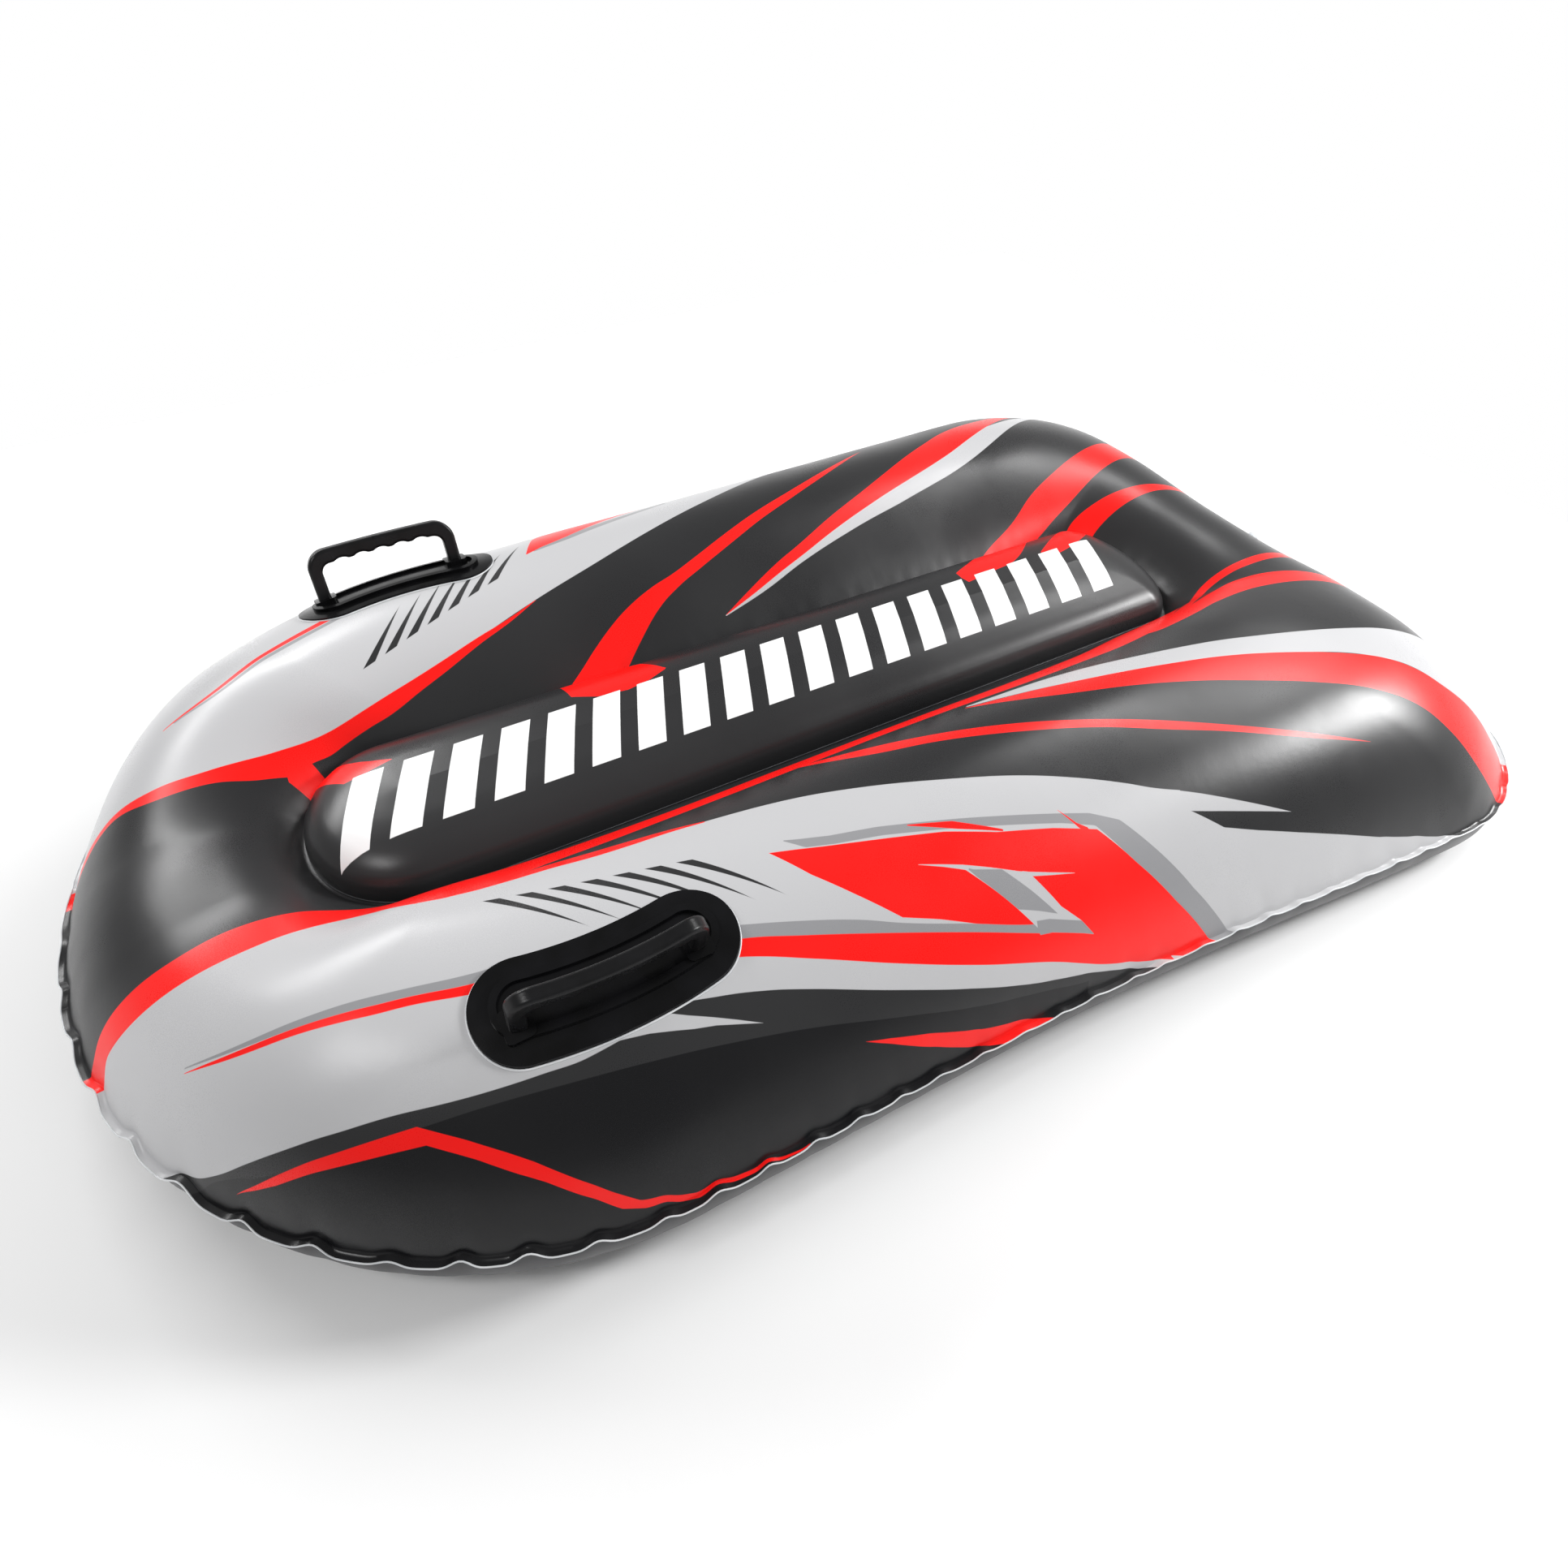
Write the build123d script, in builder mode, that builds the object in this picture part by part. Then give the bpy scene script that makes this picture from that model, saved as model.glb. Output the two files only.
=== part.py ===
from build123d import *

import os
from math import atan2, cos, hypot, pi, radians, sin, sqrt

# Inflatable snow sled: two films welded together round the rim and again along a long oval,
# which leaves a ring-shaped air tube with a raised pad in its middle.
# Millimetres. X across, Y along with the nose at -Y, Z up. Origin on the floor under the middle.

# Rim in plan, half of it from the nose tip to the middle of the tail
board_length = 1200
nose_half_width = 355
nose_length = 333
waist_half_width = 357
waist_y = 93
tail_half_width = 382
tail_corner_radius = 147
tail_hollow = 21
rim_height_nose = 60
rim_height_tail = 42
flange_width = 5

# Oval weld between the tube and the pad, in its own slightly tilted plane
oval_nose_y = -420
oval_tail_y = 401.5
oval_nose_half_width = 84
oval_tail_half_width = 79
oval_nose_length = 78
oval_tail_length = 37
oval_height = 102.7
oval_slope = -0.01
oval_lap = 6

# Films
top_film = 1.0
bottom_film = 1.4
overrun = 5
layer_start = 2
weld_gap = 0.1

# Height of the tube's top arc above its chord, by share of the way along the rim
arc_rises = [(0.03, 46), (0.18, 84), (0.33, 86), (0.525, 90), (0.78, 90), (0.975, 65)]
stations = 24
nose_lift = 30
nose_lift_share = 0.22
floor_trim = 0.4
floor_flat = 40

# Pad: inset from the oval at each height above it
pad_rim_inset = 2.5
pad_top_levels = [(0, 0), (14, 0.5), (25, 5), (33, 14), (37.5, 28), (39, 44)]
pad_floor_levels = [(0, 0), (12, 2), (22, 10), (30, 24), (34, 42)]

# Handles
handle_x = 251
handle_y = -275.2
handle_z = 157.5
handle_tilt = 16.5
leg_spacing = 118.4
leg_width = 11
handle_height = 46
handle_depth = 11
bar_height = 13
handle_corner = 17
scallop_pitch = 17.5
scallop_count = 5
scallop_depth = 2
scallop_radius = 11
opening_corner = 8
handle_bow = 5
bump_rounding = 4
grip_rounding = 3
base_width = 65
base_arc = [(242, -328), (248.5, -272), (244, -217)]
base_thickness = 2.5
base_ridge_inset = 13
base_ridge_width = 5
base_ridge_height = 3
socket_size = (19, 22)
socket_height = 4.5
socket_corner = 4
leg_foot = 16

# Valves, each on a plane whose normal points out of the film
valve_flange_diameter = 46
valve_flange_thickness = 1.6
valve_flange_sink = 4
valve_sleeve_bore = 24
valve_sleeve_wall = 1.2
valve_sleeve_depth = 21
valve_hole_depth = 6
valve_stem_diameter = 11
valve_stem_bore = 7.6
valve_stem_height = 14
valve_collar_diameter = 23.4
valve_collar_thickness = 2.5
valve_cap_diameter = 14
valve_cap_thickness = 2.6
valve_cap_clearance = 0.3
valve_plug_diameter = 7.4
valve_plug_tip_diameter = 4.8
valve_plug_depth = 5
valve_hinge_reach = 10.5
valve_hinge_rise = 0.6
valve_hinge_radius = 0.9
valve_hinge_clearance = 0.3
valve_strap_width = 6
valve_strap_thickness = 1.4
valve_lug_size = (6, 6, 4)
valve_lug_bite = 0.5
valve_flap_diameter = 9
valve_flap_thickness = 0.8
valve_flap_hinge = 5.4
main_valve_elevation = 25
pad_valve_y = 250


def smooth(share):
    """Ease from 0 to 1."""
    k = min(max(share, 0), 1)
    return k * k * (3 - 2 * k)


def blend(keys, share):
    """Value between hand-set keys, eased from one to the next."""
    for (a, low), (b, high) in zip(keys, keys[1:]):
        if share <= b:
            return low + (high - low) * smooth((share - a) / (b - a))
    return keys[-1][1]


def rim_height(y):
    return rim_height_nose + (rim_height_tail - rim_height_nose) * (y / board_length + 0.5)


def weld_height(y):
    return oval_height + oval_slope * y


# Half of the rim, and half of the oval, each from the nose to the tail
with BuildLine() as rim:
    nose = EllipticalCenterArc(
        (0, nose_length - board_length / 2), nose_half_width, nose_length, start_angle=-90, arc_size=90
    )
    side = Spline(
        nose @ 1,
        (waist_half_width, waist_y),
        (tail_half_width, board_length / 2 - tail_corner_radius),
        tangents=[(0, 1), (0.05, 1)],
    )
    corner_inset = (1 - sqrt(0.5)) * tail_corner_radius
    corner = Spline(
        side @ 1,
        (tail_half_width - corner_inset, board_length / 2 - corner_inset),
        (tail_half_width - tail_corner_radius, board_length / 2),
        tangents=[(0.05, 1), (-1, 0)],
    )
    Spline(corner @ 1, (0, board_length / 2 - tail_hollow), tangents=[(-1, 0), (-1, 0)])

with BuildLine() as oval:
    front_centre = (0, oval_nose_y + oval_nose_length)
    back_centre = (0, oval_tail_y - oval_tail_length)
    front = EllipticalCenterArc(
        front_centre, oval_nose_half_width, oval_nose_length, start_angle=-90, arc_size=90
    )
    Line(front @ 1, (oval_tail_half_width, back_centre[1]))
    EllipticalCenterArc(
        back_centre, oval_tail_half_width, oval_tail_length, start_angle=0, arc_size=90
    )

rim_wire = rim.wire()
oval_wire = oval.wire()
weld_plane = Plane(origin=(0, 0, oval_height), x_dir=(1, 0, 0), z_dir=(0, -oval_slope, 1))


class Station:
    """One upright slice of the tube, in from the rim to the oval.

    Stations run from 0 at the nose to 1 at the tail. One before 0 or after 1 is a mirror image.
    """

    def __init__(self, along):
        side = 1 if 0 <= along <= 1 else -1
        share = min(abs(along), 2 - along)
        rim_point = Vector(side * (rim_wire @ share).X, (rim_wire @ share).Y)
        oval_point = Vector(side * (oval_wire @ share).X, (oval_wire @ share).Y)
        inward = (oval_point - rim_point).normalized()
        self.span = (oval_point - rim_point).length
        self.plane = Plane(origin=rim_point, x_dir=inward, z_dir=(inward.Y, -inward.X, 0))
        self.rim_z = rim_height(rim_point.Y)
        self.oval_z = weld_height(oval_point.Y)
        self.floor_z = nose_lift * (1 - smooth(share / nose_lift_share)) - floor_trim
        self.set_top_circle(blend(arc_rises, share))

    def set_top_circle(self, rise):
        """Centre and radius of the outside of the tube's top arc."""
        climb = self.oval_z - self.rim_z
        chord = hypot(self.span, climb)
        self.radius = (chord**2 / 4 + rise**2) / (2 * rise)
        drop = self.radius - rise
        self.centre_x = self.span / 2 + drop * climb / chord
        self.centre_z = (self.rim_z + self.oval_z) / 2 - drop * self.span / chord

    def top_arc(self, lift, start_z):
        """Start, middle and end of an arc that lies a little above or below the top arc."""
        radius = self.radius + lift
        end = atan2(self.oval_z - self.centre_z, self.span - self.centre_x) - overrun / radius
        rise = start_z - self.centre_z
        start = pi - atan2(rise, sqrt(radius**2 - rise**2))
        angles = (start, (start + end) / 2, end)
        return [(self.centre_x + radius * cos(a), self.centre_z + radius * sin(a)) for a in angles]


def top_film_section(station):
    """Rim flange and arc of the top film."""
    z = station.rim_z
    inside = station.top_arc(-top_film, z)
    outside = station.top_arc(0, z + top_film)
    with BuildSketch(station.plane) as section:
        with BuildLine():
            Polyline(inside[0], (-flange_width, z), (-flange_width, z + top_film), outside[0])
            ThreePointArc(*outside)
            Line(outside[2], inside[2])
            ThreePointArc(*inside)
        make_face()
    return section.sketch


def bottom_film_section(station):
    """Rim flange, bilge, flat and inner arc of the bottom film."""
    z = station.rim_z
    floor = station.floor_z
    bilge = z - bottom_film - floor
    bilge_mid = bilge * sqrt(0.5)
    reach = station.span - bilge - floor_flat
    rise = station.oval_z - floor
    radius = (reach**2 + rise**2) / (2 * rise)
    foot_x = bilge + floor_flat
    sweep = atan2(reach, radius - rise) + overrun / radius
    inner_mid = (foot_x + radius * sin(sweep / 2), floor + radius * (1 - cos(sweep / 2)))
    inner_end = (foot_x + radius * sin(sweep), floor + radius * (1 - cos(sweep)))
    small = radius - bottom_film
    top = floor + radius
    upper_mid = (foot_x + small * sin(sweep / 2), top - small * cos(sweep / 2))
    upper_end = (foot_x + small * sin(sweep), top - small * cos(sweep))
    film_mid = (bilge - bottom_film) * sqrt(0.5)
    with BuildSketch(station.plane) as section:
        with BuildLine():
            Polyline(
                (bottom_film, z - bottom_film),
                (bottom_film, z),
                (-flange_width, z),
                (-flange_width, z - bottom_film),
                (0, z - bottom_film),
            )
            ThreePointArc(
                (0, z - bottom_film), (bilge - bilge_mid, floor + bilge - bilge_mid), (bilge, floor)
            )
            Line((bilge, floor), (foot_x, floor))
            ThreePointArc((foot_x, floor), inner_mid, inner_end)
            Line(inner_end, upper_end)
            ThreePointArc(upper_end, upper_mid, (foot_x, floor + bottom_film))
            Line((foot_x, floor + bottom_film), (bilge, floor + bottom_film))
            ThreePointArc(
                (bilge, floor + bottom_film),
                (bilge - film_mid, floor + bilge - film_mid),
                (bottom_film, z - bottom_film),
            )
        make_face()
    return section.sketch


def layer_section(low, high):
    """Section of a layer that lies on the tube's top, between two heights above it."""

    def section_at(station):
        start_z = station.rim_z + layer_start
        under = station.top_arc(low, start_z)
        over = station.top_arc(high, start_z)
        with BuildSketch(station.plane) as section:
            with BuildLine():
                Line(under[0], over[0])
                ThreePointArc(*over)
                Line(over[2], under[2])
                ThreePointArc(*under)
            make_face()
        return section.sketch

    return section_at


def core_section(lift):
    """Section of everything under the tube's top, raised by a lift."""

    def section_at(station):
        base_z = station.rim_z + layer_start
        arc = station.top_arc(lift, base_z)
        with BuildSketch(station.plane) as section:
            with BuildLine():
                ThreePointArc(*arc)
                Polyline(arc[2], (arc[2][0], base_z), arc[0])
            make_face()
        return section.sketch

    return section_at


def half_ring(section_at):
    """Loft one half of the tube through its stations, trimmed at the middle plane."""
    loft([section_at(Station(i / stations)) for i in range(-1, stations + 2)])
    split(bisect_by=Plane.YZ, keep=Keep.TOP)


def pad_outline(inset, rise):
    """The oval drawn smaller by an inset, at a height above the weld plane."""
    nose_half = oval_nose_half_width - inset
    tail_half = oval_tail_half_width - inset
    nose_end = oval_nose_length * nose_half / oval_nose_half_width
    tail_end = oval_tail_length * tail_half / oval_tail_half_width
    nose_centre = (0, oval_nose_y + inset + nose_end)
    tail_centre = (0, oval_tail_y - inset - tail_end)
    with BuildSketch(weld_plane.offset(rise)) as outline:
        with BuildLine():
            nose_arc = EllipticalCenterArc(nose_centre, nose_half, nose_end, start_angle=180, arc_size=180)
            tail_arc = EllipticalCenterArc(tail_centre, tail_half, tail_end, start_angle=0, arc_size=180)
            Line(nose_arc @ 1, tail_arc @ 0)
            Line(tail_arc @ 1, nose_arc @ 0)
        make_face()
    return outline.sketch


def pad_film(levels, side, film):
    """Domed pad film with its flat weld lap, above the weld plane (side 1) or below it (side -1)."""
    loft([pad_outline(pad_rim_inset + inset, side * rise) for rise, inset in levels])
    extrude(pad_outline(-oval_lap, 0), side * film)
    inner = [pad_outline(pad_rim_inset + film + inset, side * (rise - film)) for rise, inset in levels]
    loft(inner, mode=Mode.SUBTRACT)


def weld_trim(side):
    """Cut off what overruns the weld plane on one side of it."""
    extrude(pad_outline(-2 * overrun, 0), side * 2 * overrun, mode=Mode.SUBTRACT)


def save(part, label):
    part.label = label
    export_step(part, f"parts/{label}.step")


os.makedirs("parts", exist_ok=True)

# Films
rear_wall = Station(1)
main_valve_angle = radians(main_valve_elevation)
main_valve_plane = Plane(
    origin=(
        0,
        rear_wall.plane.origin.Y - rear_wall.centre_x + rear_wall.radius * cos(main_valve_angle),
        rear_wall.centre_z + rear_wall.radius * sin(main_valve_angle),
    ),
    x_dir=(1, 0, 0),
    z_dir=(0, cos(main_valve_angle), sin(main_valve_angle)),
)
pad_floor_depth = pad_floor_levels[-1][0]
pad_valve_plane = Plane(
    origin=weld_plane.from_local_coords((0, pad_valve_y, -pad_floor_depth)),
    x_dir=(1, 0, 0),
    z_dir=-weld_plane.z_dir,
)


def valve_hole(plane):
    with BuildSketch(plane) as hole:
        Circle(valve_sleeve_bore / 2 + valve_sleeve_wall + weld_gap)
    extrude(hole.sketch, valve_hole_depth, both=True, mode=Mode.SUBTRACT)


with BuildPart() as pad_top:
    pad_film(pad_top_levels, 1, top_film)

with BuildPart() as top_sheet:
    half_ring(top_film_section)
    mirror(about=Plane.YZ)
    weld_trim(-1)
    add(pad_top.part)
    valve_hole(main_valve_plane)
save(top_sheet.part, "top_sheet")

with BuildPart() as pad_floor:
    pad_film(pad_floor_levels, -1, bottom_film)
    valve_hole(pad_valve_plane)

with BuildPart() as bottom_sheet:
    half_ring(bottom_film_section)
    mirror(about=Plane.YZ)
    weld_trim(1)
    split(bisect_by=Plane.XY, keep=Keep.TOP)
    add(pad_floor.part)
save(bottom_sheet.part, "bottom_sheet")


# Handles: the +X one is modelled, and the other is its mirror image
tilt = radians(handle_tilt)
handle_origin = (handle_x, handle_y, handle_z)
handle_up = (sin(tilt), 0, cos(tilt))
grip_plane = Plane(origin=handle_origin, x_dir=(0, 1, 0), z_dir=(cos(tilt), 0, -sin(tilt)))
foot_plane = Plane(origin=handle_origin, x_dir=(0, 1, 0), z_dir=handle_up)


def base_outline(inset):
    """Banana-shaped outline of the handle base."""
    with BuildSketch() as outline:
        with BuildLine():
            spine = ThreePointArc(*base_arc)
        SlotArc(spine, base_width - 2 * inset)
    return outline.sketch


with BuildPart() as grip_core:
    half_ring(core_section(base_thickness))

with BuildPart() as base_ridge:
    half_ring(layer_section(base_thickness / 2, base_thickness + base_ridge_height))
    with BuildSketch() as ridge_outline:
        add(base_outline(base_ridge_inset))
        add(base_outline(base_ridge_inset + base_ridge_width), mode=Mode.SUBTRACT)
    extrude(ridge_outline.sketch, handle_z + handle_height, mode=Mode.INTERSECT)

with BuildPart() as base_sockets:
    half_ring(layer_section(base_thickness / 2, base_thickness + socket_height))
    with BuildSketch(foot_plane) as socket_outline:
        with GridLocations(leg_spacing, 0, 2, 1):
            RectangleRounded(*socket_size, socket_corner)
    extrude(socket_outline.sketch, leg_foot, both=True, mode=Mode.INTERSECT)

with BuildPart() as left_handle_grip:
    with BuildSketch(grip_plane) as grip_outline:
        with Locations((0, -leg_foot)):
            Rectangle(leg_spacing + leg_width, leg_foot + handle_height, align=(Align.CENTER, Align.MIN))
        fillet(grip_outline.vertices().group_by(Axis.Y)[-1], handle_corner)
        with Locations((0, -leg_foot)):
            Rectangle(
                leg_spacing - leg_width,
                leg_foot + handle_height - bar_height,
                align=(Align.CENTER, Align.MIN),
                mode=Mode.SUBTRACT,
            )
        fillet(
            grip_outline.vertices().filter_by_position(
                Axis.Y, handle_height - bar_height - 1, handle_height - bar_height + 1
            ),
            opening_corner,
        )
        with Locations((0, handle_height - bar_height + scallop_depth - scallop_radius)):
            with GridLocations(scallop_pitch, 0, scallop_count, 1):
                Circle(scallop_radius, mode=Mode.SUBTRACT)
        bumps = grip_outline.vertices().filter_by_position(
            Axis.Y, handle_height - bar_height - 0.01, handle_height - bar_height + 0.01
        )
        fillet(bumps.sort_by(Axis.X)[1:-1], bump_rounding)
    extrude(amount=2 * handle_depth, both=True)
    with BuildSketch(foot_plane) as grip_plan:
        # The arc crosses the line of the legs at the legs themselves
        with BuildLine():
            bow_end = 3 * handle_bow
            bow = ThreePointArc((-leg_spacing, bow_end), (0, -handle_bow), (leg_spacing, bow_end))
        trace(bow, handle_depth)
    extrude(amount=2 * handle_height, both=True, mode=Mode.INTERSECT)
    fillet(left_handle_grip.faces().sort_by(SortBy.AREA)[-2:].edges(), grip_rounding)
    add(grip_core.part, mode=Mode.SUBTRACT)

with BuildPart() as left_handle_base:
    half_ring(layer_section(weld_gap, base_thickness))
    extrude(base_outline(0), handle_z + handle_height, mode=Mode.INTERSECT)
    add(base_ridge.part)
    add(base_sockets.part)
    add(left_handle_grip.part, mode=Mode.SUBTRACT)

for label, piece in (("handle_base", left_handle_base.part), ("handle_grip", left_handle_grip.part)):
    other = mirror(piece, about=Plane.YZ, mode=Mode.PRIVATE)
    save(piece, f"left_{label}")
    save(other, f"right_{label}")


def valve_ring(plane, outer, inner, low, high, mode=Mode.ADD):
    """Tube wall, or a disc if there is no inner diameter, between two heights above a valve's plane."""
    with BuildSketch(plane.offset(low)) as ring:
        Circle(outer / 2)
        if inner:
            Circle(inner / 2, mode=Mode.SUBTRACT)
    extrude(ring.sketch, high - low, mode=mode)


def valve_block(plane, centre_x, size, low, mode=Mode.ADD):
    """Rectangular block standing on a height above a valve's plane."""
    with BuildSketch(plane.offset(low)) as block:
        with Locations((centre_x, 0)):
            Rectangle(size[0], size[1])
    extrude(block.sketch, size[2], mode=mode)


def hinge_rod(plane, radius, mode=Mode.ADD):
    """Round rod along a valve's strap hinge."""
    axis_plane = Plane(
        origin=plane.from_local_coords((-valve_hinge_reach, 0, valve_stem_height + valve_hinge_rise)),
        x_dir=plane.x_dir,
        z_dir=plane.y_dir,
    )
    with BuildSketch(axis_plane) as rod:
        Circle(radius)
    extrude(rod.sketch, valve_strap_width / 2 + (radius - valve_hinge_radius), both=True, mode=mode)


def valve(name, plane, sink, surface):
    """Welded flange with its sleeve, sliding stem, check flap and strapped cap."""
    with BuildPart() as flange:
        valve_ring(plane, valve_flange_diameter, valve_sleeve_bore, -sink, valve_flange_thickness)
        if surface:
            add(surface, mode=Mode.SUBTRACT)
        sleeve_outer = valve_sleeve_bore + 2 * valve_sleeve_wall
        valve_ring(plane, sleeve_outer, valve_sleeve_bore, -valve_sleeve_depth, valve_flange_thickness)
    save(flange.part, f"{name}_flange")

    cap_top = valve_stem_height + valve_cap_thickness
    collar_top = -valve_hinge_clearance
    collar_bottom = collar_top - valve_collar_thickness
    lug_bottom = valve_stem_height + valve_hinge_rise - valve_lug_size[2]
    with BuildPart() as stem:
        valve_ring(plane, valve_stem_diameter, valve_stem_bore, collar_bottom, valve_stem_height)
        valve_ring(plane, valve_collar_diameter, valve_stem_bore, collar_bottom, collar_top)
        lug_x = valve_lug_bite - (valve_stem_diameter + valve_lug_size[0]) / 2
        valve_block(plane, lug_x, valve_lug_size, lug_bottom)
        cap_room = valve_cap_diameter + 2 * valve_cap_clearance
        valve_ring(plane, cap_room, 0, valve_stem_height, cap_top, Mode.SUBTRACT)
        hinge_rod(plane, valve_hinge_radius + valve_hinge_clearance, Mode.SUBTRACT)
    save(stem.part, f"{name}_stem")

    with BuildPart() as flap:
        with BuildSketch(plane.offset(collar_bottom - valve_flap_thickness)) as flap_outline:
            Circle(valve_flap_diameter / 2)
            with Locations((valve_flap_hinge / 2, 0)):
                Rectangle(valve_flap_hinge, valve_strap_width)
        extrude(flap_outline.sketch, valve_flap_thickness)
    save(flap.part, f"{name}_flap")

    strap_low = valve_stem_height + valve_hinge_rise
    with BuildPart() as cap:
        with BuildSketch(plane.offset(valve_stem_height - valve_plug_depth)) as plug_tip:
            Circle(valve_plug_tip_diameter / 2)
        with BuildSketch(plane.offset(valve_stem_height)) as plug_root:
            Circle(valve_plug_diameter / 2)
        loft([plug_tip.sketch, plug_root.sketch])
        valve_ring(plane, valve_cap_diameter, 0, valve_stem_height, cap_top)
        strap = (valve_hinge_reach, valve_strap_width, valve_strap_thickness)
        valve_block(plane, -valve_hinge_reach / 2, strap, strap_low)
        hinge_rod(plane, valve_hinge_radius)
    save(cap.part, f"{name}_cap")


with BuildPart() as tube_core:
    half_ring(core_section(weld_gap))
    mirror(about=Plane.YZ)

valve("main_valve", main_valve_plane, valve_flange_sink, tube_core.part)
valve("pad_valve", pad_valve_plane, 0, None)
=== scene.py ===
"""Looks for the inflatable snow sled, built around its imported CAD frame. Metres, same frame as the CAD."""

import math

import bmesh
import bpy
import numpy as np
from mathutils import Matrix, Vector, noise
from mathutils.bvhtree import BVHTree


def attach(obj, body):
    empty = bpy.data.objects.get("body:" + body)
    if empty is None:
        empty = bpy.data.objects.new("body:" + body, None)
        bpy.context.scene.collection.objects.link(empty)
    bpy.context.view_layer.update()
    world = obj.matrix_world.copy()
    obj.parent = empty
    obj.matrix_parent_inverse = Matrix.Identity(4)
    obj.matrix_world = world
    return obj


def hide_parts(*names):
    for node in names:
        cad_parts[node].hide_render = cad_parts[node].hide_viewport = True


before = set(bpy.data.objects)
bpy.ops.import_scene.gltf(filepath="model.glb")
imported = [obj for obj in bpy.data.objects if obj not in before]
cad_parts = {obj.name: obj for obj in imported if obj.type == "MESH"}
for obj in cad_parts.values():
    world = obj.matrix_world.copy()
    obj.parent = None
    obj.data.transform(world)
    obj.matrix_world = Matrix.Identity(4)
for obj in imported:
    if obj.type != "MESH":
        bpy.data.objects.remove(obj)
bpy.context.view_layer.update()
scene = bpy.context.scene
MM = 0.001

# ---------------------------------------------------------------- the board's own curves, in millimetres
BOARD_LENGTH = 1200.0
NOSE_HALF_WIDTH, NOSE_LENGTH = 355.0, 333.0
WAIST = (357.0, 93.0)
TAIL_HALF_WIDTH, TAIL_CORNER, TAIL_HOLLOW = 382.0, 147.0, 21.0
RIM_Z = (60.0, 42.0)
FLANGE = 5.0
OVAL_Y = (-420.0, 401.5)
OVAL_HALF = (84.0, 79.0)
OVAL_END = (78.0, 37.0)
OVAL_Z, OVAL_SLOPE = 102.7, -0.01
WELD_LAP = 2.5
ARC_RISES = ((0.03, 46), (0.18, 84), (0.33, 86), (0.525, 90), (0.78, 90), (0.975, 65))
NOSE_LIFT, NOSE_LIFT_SHARE = 30.0, 0.22
FLOOR_FLAT = 40.0
PATCH_ARC, PATCH_WIDTH = ((242.0, -328.0), (248.5, -272.0), (244.0, -217.0)), 66.0
PAD_TOP = ((0, 0), (0.6, 7), (2, 14), (6, 21), (11, 26), (18, 30.8), (30, 35.6), (44, 38.3), (80, 40.2))
PAD_FLOOR = ((0, 0), (0.8, 6), (3, 13), (10, 21), (24, 29.5), (42, 33.8), (80, 34.0))


# films: thickness, and the gap left between them at the rim and at the oval
TOP_FILM, BOTTOM_FILM = 0.8, 1.0
SEAM_GAP, WELD_GAP = 0.1, 0.2
CREASE_ANGLE = math.radians(50)
MERGE_DISTANCE, THINNEST_EDGE = 0.05, 0.01
ON_MIDDLE = 1e-6

# mesh rows and columns; crowding brings rows closer together at both ends of their run
COLUMNS = 700
FLANGE_ROWS = (-FLANGE, -FLANGE * 0.5, -0.6)
ARC_ROWS, ARC_CROWDING = 110, 0.55
BILGE_ROWS, BILGE_CROWDING = 34, 0.4
FLOOR_ROWS = (0.33, 0.67, 1)
WALL_ROWS, WALL_CROWDING = 48, 0.3
PAD_INSETS = [
    -2.5, -1.2, 0, 0.08, 0.15, 0.25, 0.4, 0.65, 1.1, 1.7, 2.4, 3.3, 4.4, 5.7, 7.2, 9, 11.2, 14, 17.5,
    22, 27, 32, 37, 42, 48, 54, 60, 66, 72,
]
DEEPEST_INSET = OVAL_HALF[0] - 0.01
BILGE_SWELL, SWELL_START = 5.5, 0.12

# waves of the rim: pitch at nose and tail, height at the waist and what nose and tail add to it,
# and where along the rim each change starts and how far it runs
WAVE_PITCH, WAVE_HEIGHTS = (50, 34), (1.6, 4.2, 1.6)
WAVE_JITTER, STILL_END, PEAK_SHARPNESS = 0.16, 0.01, 2.6
PITCH_CHANGE, NOSE_WAVES, TAIL_WAVES = (0.12, 0.25), (0.22, 0.2), (0.72, 0.1)
JITTER_NOISE, HEIGHT_NOISE = (45, 3), (90, 5)
PULL_IN = 0.8
FLANGE_REACH, BILGE_REACH, TOP_REACH = 16, 15, 17

# soft waves (height, size, seed) and puckers (size, seed, height, fading distance, start)
TUBE_WAVES = ((0.9, 170, 1), (0.35, 70, 2))
WALL_WAVES = ((0.9, 130, 8), (0.3, 50, 9))
CALM_AT_RIM, CALM_AT_OVAL = 40, 25
HANDLE_SPOT, HANDLE_CALM, HANDLE_CALM_STRENGTH = (245, -275), (70, 110), 1.6
OVAL_PUCKERS, OVAL_PUCKER_STRETCH = (13, 4, 0.55, 15, 4), 0.4
RIM_PUCKERS = (24, 6, 0.8, 26, 5)

# beads along edges, and valve openings in metres
BEAD_SIDES = 8
PATCH_STEPS, CAP_STEPS = 70, 40
RIM_BEAD_OUT, PATCH_BEAD_LIFT = 0.2, 0.2
PAD_BEAD_INSET, PAD_BEAD_LIFT = 0.4, 1.4
RAY_START = 0.5
VALVE_AXES = {
    "main_valve_flange": Vector((0, 0.906308, 0.422618)),
    "pad_valve_flange": Vector((0, -0.01, -0.99995)),
}
VALVE_OPENING, VALVE_REACH = 15.5 * MM, 25 * MM


def ease(k):
    """Smooth step from 0 to 1."""
    k = np.clip(k, 0, 1)
    return k * k * (3 - 2 * k)


def ease_from(share, start, run):
    """Smooth step that begins at a share and takes a run of them."""
    return ease((share - start) / run)


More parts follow.
